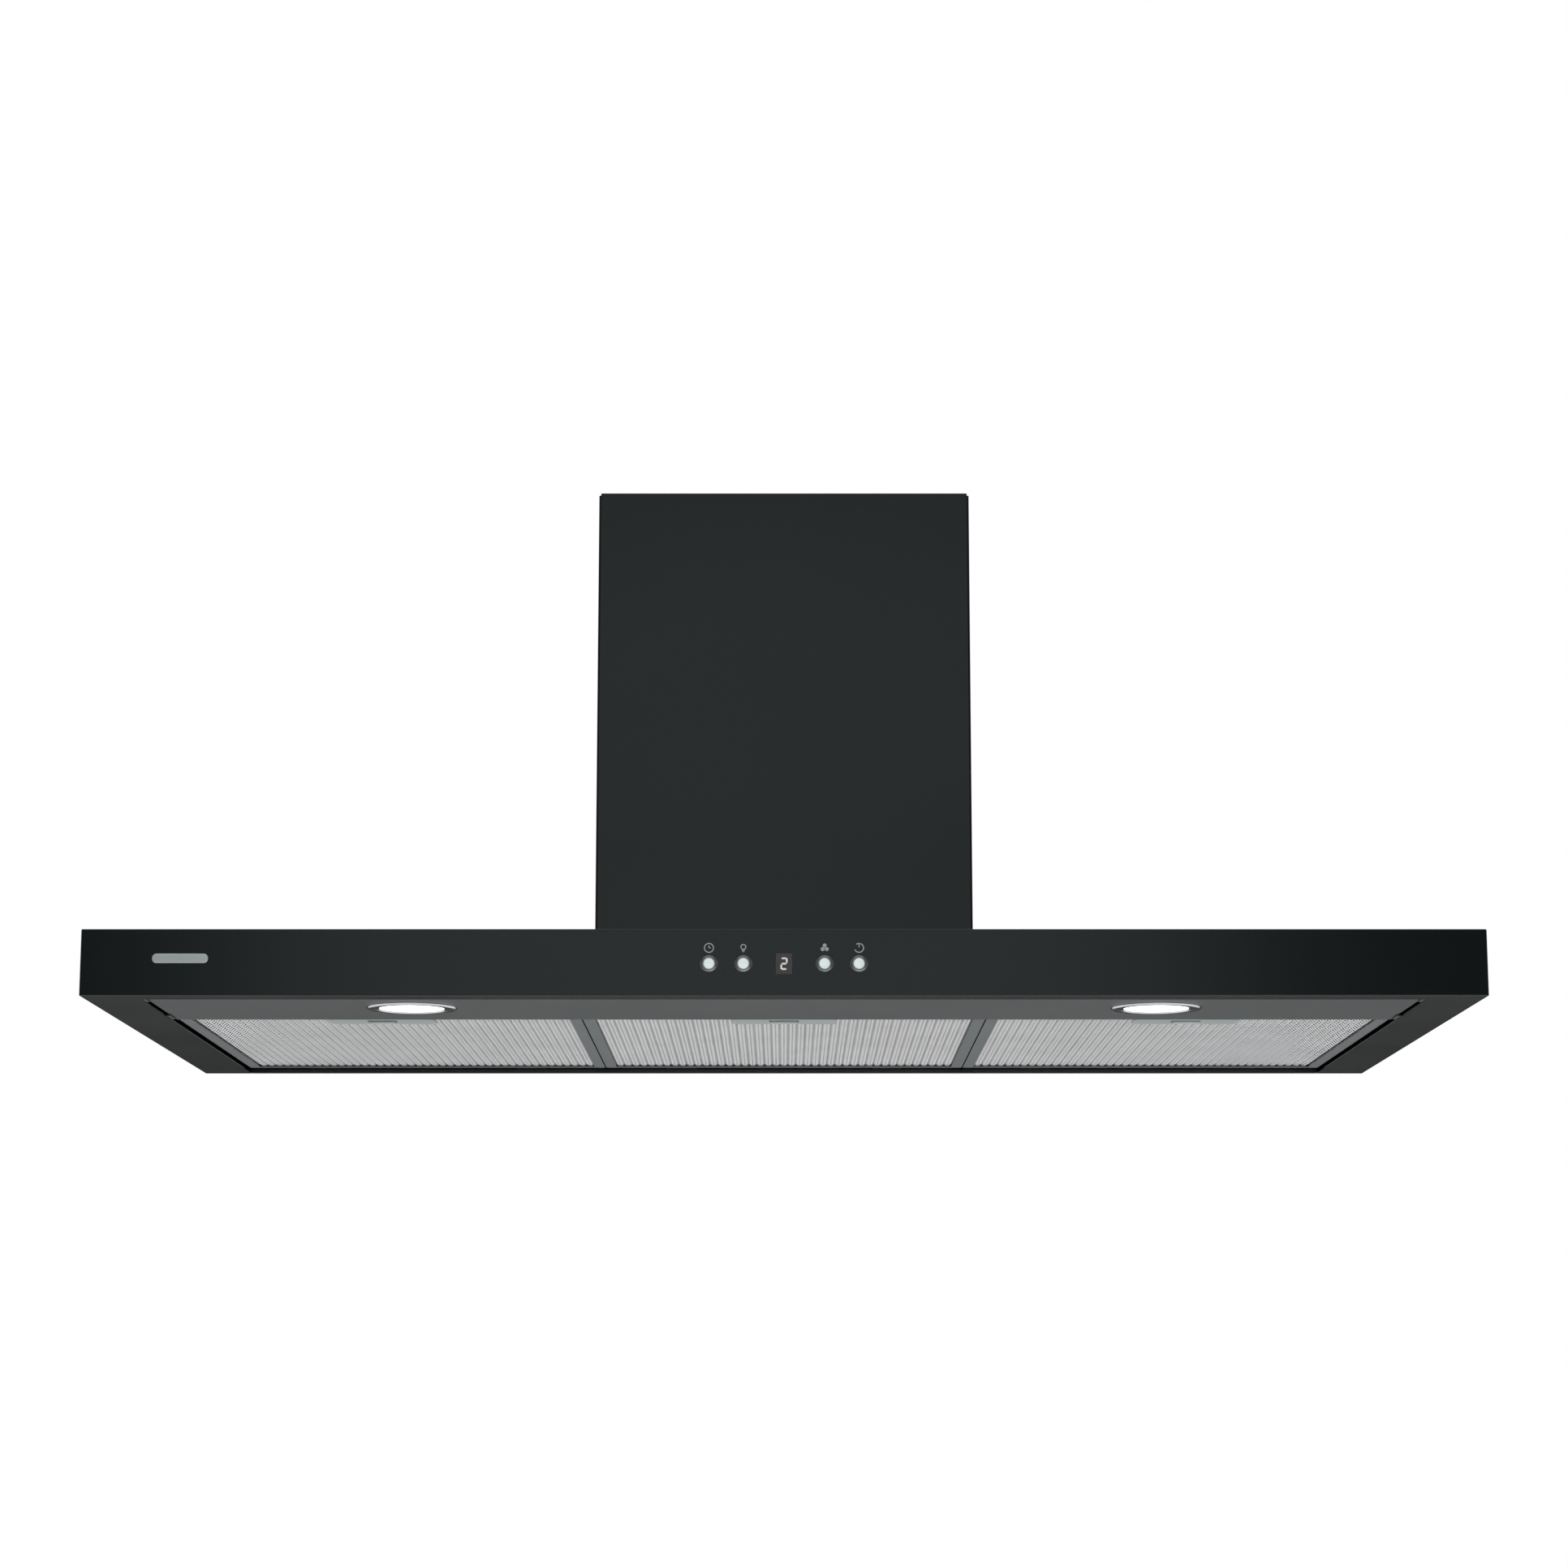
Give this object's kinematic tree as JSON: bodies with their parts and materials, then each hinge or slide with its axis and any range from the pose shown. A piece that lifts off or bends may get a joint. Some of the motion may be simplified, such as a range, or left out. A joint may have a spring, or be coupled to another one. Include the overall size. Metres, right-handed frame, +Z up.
{
  "type": "wall chimney range hood",
  "caption": "T-shaped black extractor hood: flat canopy with mesh grease filters, lamps and push buttons below a telescopic chimney that hides the blower.",
  "frame": {"origin": "on the wall plane, at the middle of the width, level with the canopy's lower edge", "axes": "+X to the right seen from the room, +Y into the wall, +Z up"},
  "size_m": [0.9, 0.5016, 0.396],
  "materials": {
    "black_paint": "semi-gloss black powder coat",
    "graphite_paint": "satin graphite paint",
    "galvanised_steel": "galvanised sheet",
    "zinc_screws": "zinc plated",
    "satin_badge": "satin",
    "filter_aluminium": "satin rolled sheet",
    "filter_mesh": "bright expanded mesh",
    "latch_metal": "satin",
    "spring_steel": "bright wire",
    "chrome_trim": "polished",
    "lamp_glass": "frosted and lit",
    "cast_housing": "die cast",
    "lamp_board": "white coated board",
    "black_plastic": "moulded",
    "circuit_board": "green solder resist",
    "display": "black face with white segments",
    "display_glass": "smoked window",
    "button_metal": "satin silver",
    "white_plastic": "moulded",
    "motor_paint": "satin",
    "shaft_steel": "ground",
    "flap_plastic": "moulded",
    "rubber": "soft",
    "gland_plastic": "moulded",
    "lead_sheath": "pvc sheath"
  },
  "bodies": {
    "hood": {"badge": "satin_badge", "blower_screws": "zinc_screws", "cable_gland": "gland_plastic", "canopy_shell": "black_paint", "capacitor": "white_plastic", "capacitor_clamp": "galvanised_steel", "casing_screws": "zinc_screws", "chimney_clips": "galvanised_steel", "control_board": "circuit_board", "control_box": "black_plastic", "display_module": "display", "display_window": "display_glass", "flap_pin": "shaft_steel", "internal_leads": "lead_sheath", "lamp_boards": "lamp_board", "lamp_left_housing": "cast_housing", "lamp_left_lens": "lamp_glass", "lamp_left_trim": "chrome_trim", "lamp_panel": "graphite_paint", "lamp_right_housing": "cast_housing", "lamp_right_lens": "lamp_glass", "lamp_right_trim": "chrome_trim", "led_driver": "white_plastic", "lower_chimney": "black_paint", "motor_body": "motor_paint", "motor_bracket": "galvanised_steel", "outlet_collar": "black_plastic", "rear_panel": "galvanised_steel", "rubber_mounts": "rubber", "scroll_left": "black_plastic", "scroll_right": "black_plastic", "terminal_box": "white_plastic", "terminal_lid": "white_plastic", "wall_frame": "galvanised_steel"},
    "chimney_top": {"upper_chimney": "black_paint", "chimney_bracket": "galvanised_steel", "bracket_screws": "zinc_screws"},
    "fan_wheel": {"impeller": "black_plastic", "motor_shaft": "shaft_steel"},
    "front_flap": {"flap_front": "flap_plastic"},
    "rear_flap": {"flap_rear": "flap_plastic"},
    "timer_button": {"button_timer": "button_metal"},
    "lamp_button": {"button_lamp": "button_metal"},
    "fan_button": {"button_fan": "button_metal"},
    "power_button": {"button_power": "button_metal"},
    "left_filter": {"filter_left_frame": "filter_aluminium", "filter_left_mesh": "filter_mesh", "filter_left_latch_plate": "latch_metal", "filter_left_latch_spring": "spring_steel"},
    "left_latch": {"filter_left_latch_tongue": "latch_metal"},
    "centre_filter": {"filter_centre_frame": "filter_aluminium", "filter_centre_mesh": "filter_mesh", "filter_centre_latch_plate": "latch_metal", "filter_centre_latch_spring": "spring_steel"},
    "centre_latch": {"filter_centre_latch_tongue": "latch_metal"},
    "right_filter": {"filter_right_frame": "filter_aluminium", "filter_right_mesh": "filter_mesh", "filter_right_latch_plate": "latch_metal", "filter_right_latch_spring": "spring_steel"},
    "right_latch": {"filter_right_latch_tongue": "latch_metal"}
  },
  "joints": [
    {"name": "chimney_extend", "type": "slide", "parent": "hood", "child": "chimney_top", "axis": [0, 0, 1], "range_m": [0, 0.25]},
    {"name": "fan_spin", "type": "hinge", "parent": "hood", "child": "fan_wheel", "pos_m": [0, -0.12, 0.152], "axis": [1, 0, 0], "continuous": true},
    {"name": "front_flap_swing", "type": "hinge", "parent": "hood", "child": "front_flap", "pos_m": [0, -0.143, 0.276], "axis": [-1, 0, 0], "range_deg": [0, 75]},
    {"name": "rear_flap_swing", "type": "hinge", "parent": "hood", "child": "rear_flap", "pos_m": [0, -0.143, 0.276], "axis": [1, 0, 0], "range_deg": [0, 75]},
    {"name": "timer_press", "type": "slide", "parent": "hood", "child": "timer_button", "axis": [0, 1, 0], "range_m": [0, 0.001], "stiffness_N_per_m": 800, "springref_m": -0.0008},
    {"name": "lamp_press", "type": "slide", "parent": "hood", "child": "lamp_button", "axis": [0, 1, 0], "range_m": [0, 0.001], "stiffness_N_per_m": 800, "springref_m": -0.0008},
    {"name": "fan_press", "type": "slide", "parent": "hood", "child": "fan_button", "axis": [0, 1, 0], "range_m": [0, 0.001], "stiffness_N_per_m": 800, "springref_m": -0.0008},
    {"name": "power_press", "type": "slide", "parent": "hood", "child": "power_button", "axis": [0, 1, 0], "range_m": [0, 0.001], "stiffness_N_per_m": 800, "springref_m": -0.0008},
    {"name": "left_filter_swing", "type": "hinge", "parent": "hood", "child": "left_filter", "pos_m": [-0.2754, -0.0096, 0.003], "axis": [1, 0, 0], "range_deg": [0, 50]},
    {"name": "centre_filter_swing", "type": "hinge", "parent": "hood", "child": "centre_filter", "pos_m": [0, -0.0096, 0.003], "axis": [1, 0, 0], "range_deg": [0, 50]},
    {"name": "right_filter_swing", "type": "hinge", "parent": "hood", "child": "right_filter", "pos_m": [0.2754, -0.0096, 0.003], "axis": [1, 0, 0], "range_deg": [0, 50]},
    {"name": "left_latch_pull", "type": "slide", "parent": "left_filter", "child": "left_latch", "axis": [0, 1, 0], "range_m": [0, 0.005], "stiffness_N_per_m": 300, "springref_m": -0.004, "deforming": ["filter_left_latch_spring"]},
    {"name": "centre_latch_pull", "type": "slide", "parent": "centre_filter", "child": "centre_latch", "axis": [0, 1, 0], "range_m": [0, 0.005], "stiffness_N_per_m": 300, "springref_m": -0.004, "deforming": ["filter_centre_latch_spring"]},
    {"name": "right_latch_pull", "type": "slide", "parent": "right_filter", "child": "right_latch", "axis": [0, 1, 0], "range_m": [0, 0.005], "stiffness_N_per_m": 300, "springref_m": -0.004, "deforming": ["filter_right_latch_spring"]}
  ]
}
